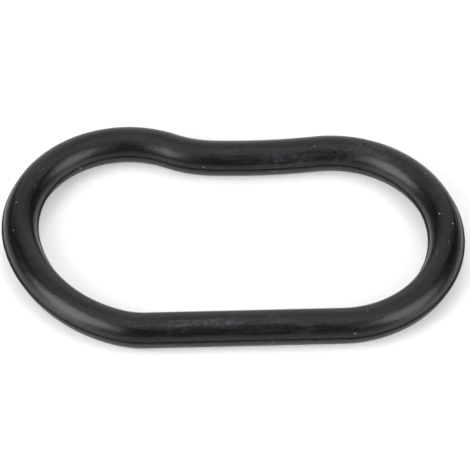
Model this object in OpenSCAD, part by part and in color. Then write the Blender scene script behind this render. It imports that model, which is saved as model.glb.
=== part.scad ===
// Moulded rubber profile seal: one closed loop with a long straight front,
// a round right end, a pinched back and a rounder left end.
// The section runs along a straight and a chain of seven tangent bends.
// Headings turn anticlockwise from the straight, which runs along +X.

/* [Section] */
// Width across the two half rounds, without the fin
section_w = 6; // [4:0.1:8]
// Height of the flat flank between the two half rounds
flank_h = 0.5; // [0.3:0.1:2]
// How far the parting-line fin stands out of each flank
fin_reach = 0.3; // [0.1:0.05:0.6]
// Thickness of the fin at the flank
fin_root = 0.24; // [0.2:0.02:0.28]
// Thickness of the fin at its outer edge
fin_tip = 0.14; // [0.1:0.02:0.2]

/* [Front] */
// Length of the straight
straight_l = 34.3; // [25:0.1:42]
// Centre-line radius of the corner from the left end into the straight
corner_r = 15; // [8:0.1:22]
// Angle that the corner turns through
corner_angle = 20; // [14:0.5:26]

/* [Right end] */
// Centre-line radius of the lower part of the right end
right_front_r = 19; // [15:0.1:23]
// Angle that the lower part turns through
right_front_angle = 72; // [68:0.5:80]
// Centre-line radius of the upper part of the right end
right_back_r = 20.2; // [17:0.1:23]
// Angle that the upper part turns through
right_back_angle = 114; // [110:0.5:118]

/* [Back] */
// Centre-line radius of the long shallow hollow
hollow_r = 112; // [80:1:150]
// Angle that the shallow hollow turns back through
hollow_angle = 9.5; // [7:0.1:12]
// Centre-line radius of the pinch beside the left end
pinch_r = 20; // [12:0.1:28]
// Angle that the pinch turns back through
pinch_angle = 21.5; // [17:0.1:26]

/* [Left end] */
// Angle that the upper, tighter arc of the left end turns through
left_angle = 125; // [118:0.5:132]

/* [Hidden] */
$fn = 64;

section_h = section_w + flank_h;
flank_x = section_w / 2;

// Turn of each bend in order, negative where the loop bends outwards.
LEFT = 4;
UNDER = 5;
full_turn = 360;
under_angle = full_turn - right_front_angle - right_back_angle + hollow_angle
    + pinch_angle - left_angle - corner_angle;
turn = [right_front_angle, right_back_angle, -hollow_angle, -pinch_angle,
    left_angle, under_angle, corner_angle];
bends = [0:len(turn) - 1];

function total(list, count) =
    count == 0 ? 0 * list[0] : list[count - 1] + total(list, count - 1);

// Heading of the path where each bend starts, and after the last one.
heading = [for (i = [0:len(turn)]) total(turn, i)];

// Step that a bend of unit radius makes, from its start to its end.
unit_step = [for (i = bends) sign(turn[i]) *
    [sin(heading[i + 1]) - sin(heading[i]), cos(heading[i]) - cos(heading[i + 1])]];

// The two radii of the left end are the ones that bring the path back to
// where it began.
set_r = [right_front_r, right_back_r, hollow_r, pinch_r, 0, 0, corner_r];
set_step = [straight_l, 0] + total([for (i = bends) set_r[i] * unit_step[i]], len(turn));
spread = cross(unit_step[LEFT], unit_step[UNDER]);
left_r = -cross(set_step, unit_step[UNDER]) / spread;
under_r = -cross(unit_step[LEFT], set_step) / spread;
radius = [right_front_r, right_back_r, hollow_r, pinch_r, left_r, under_r, corner_r];

// Where each bend starts, and the centre that it turns about.
step = [for (i = bends) radius[i] * unit_step[i]];
start = [for (i = bends) [straight_l, 0] + total(step, i)];
centre = [for (i = bends) start[i] - from_centre(i, heading[i])];

// The point of a bend where the path has heading h, seen from its centre.
function from_centre(i, h) = sign(turn[i]) * radius[i] * [sin(h), -cos(h)];

// The point of a bend whose heading comes closest to h.
function nearest(i, h) =
    let (low = min(heading[i], heading[i + 1]), high = max(heading[i], heading[i + 1]))
    centre[i] + from_centre(i, min(max(h, low), high));

// Outermost lines of the path, where it heads along an axis.
quarter = 90;
east = max([for (i = bends) nearest(i, quarter).x]);
north = max([for (i = bends) nearest(i, 2 * quarter).y]);
west = min([for (i = bends) nearest(i, 3 * quarter).x]);
middle = [(east + west) / 2, north / 2];

// Moves a shape to a point in two steps, to the nearest hundredth and then
// the rest, so that neighbours meet face to face to the last digit.
grid = 0.01;
module place(point) {
    near = [round(point.x / grid), round(point.y / grid)] * grid;
    translate(near) translate(point - near) children();
}

// Two half rounds with a flat flank between them, standing on the ground
// line, and the fin where the two halves of the mould meet, which thins
// towards its edge.
module seal_section() {
    fin_end = flank_x + fin_reach;
    fin = [[flank_x, fin_root / 2], [fin_end, fin_tip / 2],
        [fin_end, -fin_tip / 2], [flank_x, -fin_root / 2]];
    translate([0, section_h / 2]) {
        for (side = [-1, 1])
            translate([0, side * flank_h / 2]) circle(d = section_w);
        square([section_w, flank_h], center = true);
        polygon(concat(fin, -fin));
    }
}

module straight() {
    rotate([quarter, 0, quarter]) linear_extrude(straight_l) seal_section();
}

// A bend that curves outwards is turned from its far end.
module bend(i) {
    first = turn[i] > 0 ? heading[i] - quarter : heading[i + 1] + quarter;
    place(centre[i])
        rotate_extrude(angle = abs(turn[i]), start = first)
            place([radius[i], 0]) seal_section();
}

module seal_ring() {
    color("#1b1c1e")
        translate(-middle) {
            straight();
            for (i = bends) bend(i);
        }
}

seal_ring();
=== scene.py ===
import math

import bmesh
import bpy
from mathutils import Matrix, Vector


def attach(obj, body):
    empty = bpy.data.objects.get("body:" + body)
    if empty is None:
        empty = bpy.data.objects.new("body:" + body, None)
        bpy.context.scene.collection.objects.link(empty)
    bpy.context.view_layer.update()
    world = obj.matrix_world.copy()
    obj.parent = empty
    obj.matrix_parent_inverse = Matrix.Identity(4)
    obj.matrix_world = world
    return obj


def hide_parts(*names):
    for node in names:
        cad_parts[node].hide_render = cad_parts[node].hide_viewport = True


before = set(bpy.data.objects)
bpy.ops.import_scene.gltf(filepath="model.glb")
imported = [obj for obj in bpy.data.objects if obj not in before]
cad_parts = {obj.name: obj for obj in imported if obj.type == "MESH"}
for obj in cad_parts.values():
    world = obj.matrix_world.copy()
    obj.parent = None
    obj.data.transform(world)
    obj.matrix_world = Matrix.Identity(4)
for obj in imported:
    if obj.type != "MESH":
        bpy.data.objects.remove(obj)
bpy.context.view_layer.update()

# The seal ring: one compression-moulded piece of black nitrile rubber. Its cord is two
# half rounds with a thin fin on both flanks, where the halves of the mould met, and it
# runs along one straight and seven tangent bends into a closed loop.
MM = 0.001
CORD_RADIUS = 3.0 * MM
CORD_POINTS = 54
FLANK_HEIGHT = 0.5 * MM
CORD_MIDDLE = CORD_RADIUS + FLANK_HEIGHT / 2
FIN_REACH = 0.29 * MM
FIN_ROOT = 0.24 * MM
FIN_TIP = 0.14 * MM
STRAIGHT_LENGTH = 34.3 * MM
STEP_LENGTH = 0.3 * MM
SMALL_GAP = 0.01 * MM

# The bends in order, with their radius and the angle that each turns through, which is
# negative where the loop curves outwards. The left end's two radii are left open.
BENDS = (
    (19.0 * MM, 72.0),
    (20.2 * MM, 114.0),
    (112.0 * MM, -9.5),
    (20.0 * MM, -21.5),
    (None, 125.0),
    (None, 60.0),
    (15.0 * MM, 20.0),
)

# The open radii are the two that bring the path back to where it began.
heading = 0.0
set_step = Vector((STRAIGHT_LENGTH, 0))
open_steps = []
for radius, turn in BENDS:
    after = heading + math.radians(turn)
    unit_step = Vector((math.sin(after) - math.sin(heading), math.cos(heading) - math.cos(after)))
    if radius:
        set_step += math.copysign(radius, turn) * unit_step
    else:
        open_steps.append(unit_step)
    heading = after
closing_radii = Matrix(open_steps).transposed().inverted() @ -set_step


def pick(chosen):
    """Selects the vertices in edit mode that chosen says yes to, and gives their places."""
    mesh = bmesh.from_edit_mesh(bpy.context.object.data)
    for vertex in mesh.verts:
        vertex.select = False
    mesh.select_flush(False)
    for vertex in mesh.verts:
        vertex.select = chosen(vertex.co)
    mesh.select_flush(True)
    bmesh.update_edit_mesh(bpy.context.object.data)
    return [vertex.co for vertex in mesh.verts if vertex.select]


# One section of the cord at the start of the straight, parted at the flank.
path_start = Vector((0, 0, CORD_MIDDLE))
bpy.ops.object.select_all(action="DESELECT")
bpy.ops.mesh.primitive_circle_add(
    vertices=CORD_POINTS,
    radius=CORD_RADIUS,
    location=path_start,
    rotation=(math.pi / 2, 0, math.pi / 2),
)
ring = bpy.context.object
ring.name = "rubber_ring"
bpy.ops.object.transform_apply(location=True, rotation=True, scale=True)
bpy.ops.object.mode_set(mode="EDIT")
for half in (-1, 1):
    pick(lambda co: half * (co.z - CORD_MIDDLE) > 0)
    bpy.ops.transform.translate(value=(0, 0, half * FLANK_HEIGHT / 2))

# The flank's edge on each side is cut in five. The two inner cuts become the fin's tip
# and the two outer ones its root. flank_side lies between the edge and the next points.
upper_half = pick(lambda co: co.z > CORD_MIDDLE)
flank_half = min(co.z for co in upper_half) - CORD_MIDDLE
flank_side = CORD_RADIUS * math.cos(2 * math.pi / CORD_POINTS)
cut_spacing = 2 * flank_half / 5
for side in (-1, 1):
    pick(
        lambda co: side * co.y > flank_side
        and abs(co.z - CORD_MIDDLE) < flank_half + SMALL_GAP
    )
    bpy.ops.mesh.subdivide(number_cuts=4)
    for spaces, thickness, reach in ((0, FIN_TIP, FIN_REACH), (1, FIN_ROOT, 0.0)):
        for half in (-1, 1):
            cuts = pick(
                lambda co: side * co.y > flank_side
                and spaces < half * (co.z - CORD_MIDDLE) / cut_spacing < spaces + 1
            )
            rise = half * thickness / 2 - (cuts[0].z - CORD_MIDDLE)
            bpy.ops.transform.translate(value=(0, side * reach, rise))

# The section is drawn along the straight and spun round each bend.
straight_steps = round(STRAIGHT_LENGTH / STEP_LENGTH)
bpy.ops.mesh.select_all(action="SELECT")
bpy.ops.mesh.extrude_repeat(
    steps=straight_steps, offset=(STRAIGHT_LENGTH / straight_steps, 0, 0)
)
point = path_start + Vector((STRAIGHT_LENGTH, 0, 0))
heading = 0.0
bend_places = []
unused_radii = iter(closing_radii)
for radius, turn in BENDS:
    radius = radius or next(unused_radii)
    angle = math.radians(turn)
    leftwards = Vector((-math.sin(heading), math.cos(heading), 0))
    centre = point + leftwards * math.copysign(radius, turn)
    bend_places.append((centre, radius, heading, angle))
    bpy.ops.mesh.spin(
        steps=max(2, round(radius * abs(angle) / STEP_LENGTH)),
        angle=-angle,
        center=centre,
        axis=(0, 0, 1),
    )
    point = centre + Matrix.Rotation(angle, 3, "Z") @ (point - centre)
    heading += angle
bpy.ops.mesh.select_all(action="SELECT")
bpy.ops.mesh.remove_doubles(threshold=SMALL_GAP)
bpy.ops.mesh.normals_make_consistent(inside=False)
bpy.ops.object.mode_set(mode="OBJECT")
bpy.ops.object.shade_smooth_by_angle(angle=math.radians(30))

# How each point lies on the mould, in millimetres. Two circles, one along the loop and
# one round the cord, have no seam, and their four coordinates are in on_circles and
# up_circle. The surface rolled out flat has its seam underneath.
GUIDE_KINDS = {"on_circles": "FLOAT_VECTOR", "up_circle": "FLOAT", "rolled_out": "FLOAT_VECTOR"}
for name, kind in GUIDE_KINDS.items():
    ring.data.attributes.new(name, kind, "POINT")
on_circles, up_circle, rolled_out = (ring.data.attributes[name].data for name in GUIDE_KINDS)
loop_length = STRAIGHT_LENGTH + sum(radius * abs(angle) for _, radius, _, angle in bend_places)
loop_radius_mm = loop_length / (2 * math.pi) / MM
cord_radius_mm = CORD_RADIUS / MM
near_path = CORD_RADIUS + 2 * FIN_REACH
angle_slack = 0.001
for index, vertex in enumerate(ring.data.vertices):
    along, inwards = vertex.co.x, vertex.co.y
    if not (0 <= along <= STRAIGHT_LENGTH and abs(inwards) < near_path):
        begun = STRAIGHT_LENGTH
        for centre, radius, heading, angle in bend_places:
            side = math.copysign(1, angle)
            arm = vertex.co.xy - centre.xy
            turned = side * (math.atan2(side * arm.x, -side * arm.y) - heading)
            turned = (turned + angle_slack) % (2 * math.pi) - angle_slack
            inwards = side * (radius - arm.length)
            if turned <= abs(angle) + angle_slack and abs(inwards) < near_path:
                along = begun + radius * turned
                break
            begun += radius * abs(angle)
    lap = 2 * math.pi * along / loop_length
    around = math.atan2(vertex.co.z - CORD_MIDDLE, inwards)
    on_circles[index].vector = (
        loop_radius_mm * math.cos(lap),
        loop_radius_mm * math.sin(lap),
        cord_radius_mm * math.cos(around),
    )
    up_circle[index].value = cord_radius_mm * math.sin(around)
    from_seam = (around + math.pi / 2) % (2 * math.pi) - math.pi / 2
    rolled_out[index].vector = (along / MM, cord_radius_mm * from_seam, 0)

# The frame's origin lies under the middle of the loop's outline.
own_sides = list(zip(*(vertex.co.xy for vertex in ring.data.vertices)))
east_middle, north_middle = ((min(side) + max(side)) / 2 for side in own_sides)
bpy.ops.transform.translate(value=(-east_middle, -north_middle, 0))
bpy.ops.object.transform_apply(location=True, rotation=True, scale=True)


def linear(hex_colour):
    """The linear colour of an sRGB hex value."""
    channels = [int(hex_colour[i : i + 2], 16) / 255 for i in (1, 3, 5)]
    return [
        c / 12.92 if c <= 0.04045 else ((c + 0.055) / 1.055) ** 2.4 for c in channels
    ] + [1.0]


def add(material, kind, settings, inputs):
    """Adds a node with its settings. Its inputs, by name or place, are set or linked."""
    node = material.node_tree.nodes.new(kind)
    for name, value in settings.items():
        setattr(node, name, value)
    for place, value in inputs.items():
        if isinstance(value, bpy.types.Node):
            value = value.outputs[0]
        if isinstance(value, bpy.types.NodeSocket):
            material.node_tree.links.new(value, node.inputs[place])
        else:
            node.inputs[place].default_value = value
    return node


# Compression-moulded nitrile rubber: satin black with broad soft highlights, which fine
# lines from the mould draw out along the cord, and a grey film of bloom that dulls it in
# places. Its IOR of about 1.5 is matched a little lower, because the film takes gloss.
rubber = bpy.data.materials.new("moulded_nitrile_rubber")
rubber.use_nodes = True
skin = rubber.node_tree.nodes["Principled BSDF"]
skin.inputs["IOR"].default_value = 1.43
circles = add(rubber, "ShaderNodeAttribute", {"attribute_name": "on_circles"}, {})
up = add(rubber, "ShaderNodeAttribute", {"attribute_name": "up_circle"}, {})
flat = add(rubber, "ShaderNodeAttribute", {"attribute_name": "rolled_out"}, {})

# The length and width in millimetres of each grain, and how finely it breaks up: lines
# that the mould drags along the cord and the stretches where they show, blotches and
# clouds of bloom, and dusty grain, which is finer than it is drawn here.
grain = {}
for name, length, width, detail in (
    ("drag_lines", 9.0, 0.35, 2.0),
    ("dragged", 12.0, 2.5, 1.0),
    ("blotches", 1.8, 0.9, 4.0),
    ("clouds", 0.9, 0.6, 5.0),
    ("dusty", 0.45, 0.35, 1.0),
):
    drawn_out = add(rubber, "ShaderNodeMapping", {}, {
        "Vector": circles.outputs["Vector"], "Scale": (width / length, width / length, 1.0),
    })
    grain[name] = add(rubber, "ShaderNodeTexNoise", {"noise_dimensions": "4D"}, {
        "Vector": drawn_out, "W": up.outputs["Fac"],
        "Scale": 1 / width, "Detail": detail, "Roughness": 0.6,
    })

# What lies in set places: thicker bloom along the front and on the right of the back,
# ripples where the mould was milled, one long score, whose groove is painted darker as
# painted shade, and dust and lint. Each place is given by millimetres along and degrees
# round the cord, its length and width in millimetres, and its strength, which is full in
# its middle and fades at its edge.
cover = {}
for layer, full, edge, places in (
    ("bloom", 0.4, 1.2, (
        (6, 110, 6, 1.8, 0.7),
        (10, 108, 4, 1.6, 0.6),
        (14, 107, 7, 2.2, 0.9),
        (4, 130, 6, 2.2, 0.3),
        (23, 107, 6, 2.0, 0.4),
        (27.5, 134, 5, 2.4, 0.6),
        (51, 142, 5, 2.4, 0.5),
        (87, 82, 12, 3.0, 0.5),
        (93, 38, 8, 3.0, 0.4),
        (104, 32, 12, 3.0, 0.5),
    )),
    ("milled", 0.6, 1.1, (
        (113.8, 60, 6, 2.0, 1.0),
        (106.0, 62, 4, 1.6, 0.8),
        (102.5, 58, 3, 1.6, 0.5),
    )),
    ("score_with_painted_shade", 0.2, 1.0, ((38, 98, 52, 0.5, 0.15),)),
    ("dust", 0.6, 1.0, (
        (67.7, 74, 0.3, 0.3, 0.8),
        (65.2, 110, 0.3, 0.3, 0.7),
        (143.0, 3, 0.3, 0.3, 0.7),
        (159.2, 105, 0.3, 0.3, 0.5),
        (77.2, 106, 0.5, 0.25, 0.3),
        (118.1, 16, 0.3, 0.3, 0.35),
        (165.1, 114, 0.3, 0.3, 0.3),
        (154.5, 70, 0.3, 0.3, 0.2),
        (150.2, 80, 0.3, 0.25, 0.15),
        (98.7, 75, 0.4, 0.25, 0.2),
        (90.3, 86, 0.3, 0.3, 0.2),
        (61.1, 98, 0.3, 0.3, 0.2),
        (58.1, 70, 0.4, 0.3, 0.12),
        (36.1, 157, 0.4, 0.3, 0.4),
        (38.7, 86, 0.3, 0.3, 0.25),
        (25.2, 64, 0.4, 0.4, 0.35),
        (106.1, 0, 1.7, 0.14, 0.3),
        (105.5, -1, 0.4, 0.25, 0.4),
        (21.9, 180, 0.4, 0.2, 0.3),
        (4.3, 191, 0.4, 0.3, 0.2),
    )),
):
    cover[layer] = 0.0
    for along, around, length, width, strength in places:
        placed = add(rubber, "ShaderNodeMapping", {}, {
            "Vector": flat.outputs["Vector"],
            "Location": (-2 * along / length, -2 * math.radians(around) * cord_radius_mm / width, 0),
            "Scale": (2 / length, 2 / width, 1),
        })
        away = add(rubber, "ShaderNodeVectorMath", {"operation": "LENGTH"}, {0: placed})
        here = add(rubber, "ShaderNodeMapRange", {}, {
            "Value": away.outputs["Value"],
            "From Min": full, "From Max": edge, "To Min": strength, "To Max": 0.0,
        })
        cover[layer] = add(rubber, "ShaderNodeMath", {"operation": "ADD"}, {
            0: cover[layer], 1: here,
        })

# The film of bloom: how much each grain adds to it as the grain goes from low to high.
film = 0.0
for name, low, high, least, most in (
    ("blotches", 0.55, 0.75, 0.0, 0.15),
    ("dusty", 0.35, 0.65, -0.12, 0.12),
):
    added = add(rubber, "ShaderNodeMapRange", {}, {
        "Value": grain[name], "From Min": low, "From Max": high, "To Min": least, "To Max": most,
    })
    film = add(rubber, "ShaderNodeMath", {"operation": "ADD"}, {0: film, 1: added})
dragged = add(rubber, "ShaderNodeMapRange", {}, {
    "Value": grain["dragged"],
    "From Min": 0.42, "From Max": 0.58, "To Min": 0.15, "To Max": 1.0,
})
lines = add(rubber, "ShaderNodeMapRange", {}, {
    "Value": grain["drag_lines"],
    "From Min": 0.42, "From Max": 0.62, "To Min": -0.08, "To Max": 0.16,
})
clouds = add(rubber, "ShaderNodeMapRange", {}, {
    "Value": grain["clouds"], "From Min": 0.42, "From Max": 0.62,
})

# Ripples across the cord on the milled part, every 0.3 mm, but drawn at 0.5 mm to show.
# A wave texture of scale 1 repeats ten times in pi.
RIPPLE_SPACING = 0.5
wave = add(rubber, "ShaderNodeTexWave", {}, {
    "Vector": flat.outputs["Vector"], "Scale": math.pi / 10 / RIPPLE_SPACING, "Distortion": 0.3,
})
ripples = add(rubber, "ShaderNodeMath", {"operation": "MULTIPLY"}, {
    0: wave.outputs["Fac"], 1: cover["milled"],
})

# The fin is torn from its flash, which leaves it a little paler.
height = add(rubber, "ShaderNodeMath", {"operation": "ABSOLUTE"}, {0: up.outputs["Fac"]})
on_fin = add(rubber, "ShaderNodeMath", {"operation": "LESS_THAN"}, {
    0: height, 1: (FIN_ROOT / 2 + SMALL_GAP) / MM,
})
for layer, amount in (
    (dragged, lines),
    (cover["bloom"], clouds),
    (ripples, 0.2),
    (on_fin, 0.3),
    # The score's groove is painted darker than the rubber beside it: painted shade.
    (cover["score_with_painted_shade"], -0.6),
):
    film = add(rubber, "ShaderNodeMath", {"operation": "MULTIPLY_ADD"}, {
        0: layer, 1: amount, 2: film,
    })

# A colour mix takes its share at input 0 and its colours at 6 and 7, and gives output 2.
bloomed = add(rubber, "ShaderNodeMix", {"data_type": "RGBA"}, {
    0: film, 6: linear("#08080a"), 7: linear("#3a3a3d"),
})
dusted = add(rubber, "ShaderNodeMix", {"data_type": "RGBA"}, {
    0: cover["dust"], 6: bloomed.outputs[2], 7: linear("#b4b2ad"),
})
gloss = add(rubber, "ShaderNodeMapRange", {}, {
    "Value": grain["drag_lines"],
    "From Min": 0.4, "From Max": 0.6, "To Min": 0.28, "To Max": 0.34,
})

# The relief: drag lines of about a hundredth of a millimetre, blotches, ripples, score.
dragged_lines = add(rubber, "ShaderNodeMath", {"operation": "MULTIPLY"}, {
    0: dragged, 1: grain["drag_lines"],
})
relief = grain["blotches"]
for layer, depth in ((dragged_lines, 0.38), (ripples, 0.25), (cover["score_with_painted_shade"], -1.0)):
    relief = add(rubber, "ShaderNodeMath", {"operation": "MULTIPLY_ADD"}, {
        0: layer, 1: depth, 2: relief,
    })
bump = add(rubber, "ShaderNodeBump", {}, {
    "Strength": 1.0, "Distance": 0.07 * MM, "Height": relief,
})
for node, output, socket in (
    (dusted, 2, "Base Color"), (gloss, 0, "Roughness"), (bump, 0, "Normal"),
):
    rubber.node_tree.links.new(node.outputs[output], skin.inputs[socket])
ring.data.materials.append(rubber)

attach(ring, "root")
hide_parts("seal_ring")

# The table: a plain smooth sheet of coated white paper that the ring lies loose on. It
# keeps the ring's shadow, and is lifted to paper white for the camera and a little in
# what mirrors it.
TABLE_SIZE = 3.0
SEEN_LIFT = 0.22
MIRRORED_LIFT = 0.05
bpy.ops.object.select_all(action="DESELECT")
bpy.ops.mesh.primitive_plane_add(size=TABLE_SIZE)
table = bpy.context.object
table.name = "white_table"

# Coated paper: white, with a faint mirror image of the ring's foot in its smooth skin.
paper = bpy.data.materials.new("coated_white_paper")
paper.use_nodes = True
paper_skin = paper.node_tree.nodes["Principled BSDF"]
paper_skin.inputs["Base Color"].default_value = linear("#eae9e5")
paper_skin.inputs["Roughness"].default_value = 0.1
paper_skin.inputs["IOR"].default_value = 1.55
paper_skin.inputs["Emission Color"].default_value = (1, 1, 1, 1)
rays = add(paper, "ShaderNodeLightPath", {}, {})
mirrored = add(paper, "ShaderNodeMath", {"operation": "MULTIPLY"}, {
    0: rays.outputs["Is Glossy Ray"], 1: MIRRORED_LIFT,
})
lift = add(paper, "ShaderNodeMath", {"operation": "MULTIPLY_ADD"}, {
    0: rays.outputs["Is Camera Ray"], 1: SEEN_LIFT, 2: mirrored,
})
paper.node_tree.links.new(lift.outputs[0], paper_skin.inputs["Emission Strength"])
table.data.materials.append(paper)

# The studio: a soft box low at the left front and one at the right front, a weak card
# between each and the camera, a large weak box overhead, a pale card behind, and dark
# gaps between them, which the camera itself sees as white.
GAP_LEVEL = 0.04
LAMP_DISTANCE = 0.65
COOL_WHITE = (0.985, 0.985, 1.03)
world = bpy.data.worlds.new("studio")
bpy.context.scene.world = world
world.use_nodes = True
backdrop = world.node_tree.nodes["Background"]
backdrop.inputs["Color"].default_value = (1, 1, 1, 1)
rays = add(world, "ShaderNodeLightPath", {}, {})
level = add(world, "ShaderNodeMapRange", {}, {
    "Value": rays.outputs["Is Camera Ray"], "To Min": GAP_LEVEL, "To Max": 1.0,
})
world.node_tree.links.new(level.outputs[0], backdrop.inputs["Strength"])

# Each lamp has a bearing, clockwise from straight behind the ring, and a height, both in
# degrees, a width and length in metres, and a brightness. Its energy is the brightness
# times pi times its area.
for name, bearing, rise, size, brightness in (
    ("left_soft_box", -117, 27, (0.60, 0.66), 5.4),
    ("right_soft_box", 121, 27, (0.55, 0.62), 4.15),
    ("left_front_card", -152, 20, (0.24, 0.40), 0.5),
    ("right_front_card", 157, 33, (0.26, 0.46), 0.6),
    ("overhead_soft_box", -18, 87, (1.0, 0.74), 1.25),
    ("rear_card", 3, 24, (1.0, 0.68), 1.0),
):
    turn, tilt = math.radians(bearing), math.radians(rise)
    aim = Vector((math.sin(turn) * math.cos(tilt), math.cos(turn) * math.cos(tilt), math.sin(tilt)))
    bpy.ops.object.light_add(
        type="AREA",
        location=LAMP_DISTANCE * aim,
        rotation=aim.to_track_quat("Z", "Y").to_euler(),
    )
    lamp = bpy.context.object
    lamp.name = name
    lamp.visible_camera = False
    lamp.data.shape = "ELLIPSE"
    lamp.data.size, lamp.data.size_y = size
    lamp.data.color = COOL_WHITE
    lamp.data.energy = brightness * math.pi * (math.pi / 4 * size[0] * size[1])

# The camera looks down at 50 degrees through a long lens, turned so that the straight
# rises a little to the right. The focal length is in pixels of the photo's frame.
IMAGE_SIDE = 470
FOCAL_LENGTH = 6930
CAMERA_DISTANCE = 1227.1 * MM
LOOK_DOWN = 50.373
LOOK_TURN = -1.73
camera_aim = Vector((0.41 * MM, 2.5 * MM, 0))
camera_tilt = math.radians(90 - LOOK_DOWN)
camera_turn = math.radians(LOOK_TURN)
camera_arm = Matrix.Rotation(camera_turn, 3, "Z") @ Matrix.Rotation(camera_tilt, 3, "X")
bpy.ops.object.camera_add(
    location=camera_aim + camera_arm @ Vector((0, 0, CAMERA_DISTANCE)),
    rotation=(camera_tilt, 0, camera_turn),
)
camera = bpy.context.object
camera.name = "studio_camera"
camera.data.sensor_width = 36
camera.data.lens = camera.data.sensor_width * FOCAL_LENGTH / IMAGE_SIDE
camera.data.clip_start = 0.1
camera.data.clip_end = 10
bpy.context.scene.camera = camera
bpy.context.scene.view_settings.view_transform = "Standard"
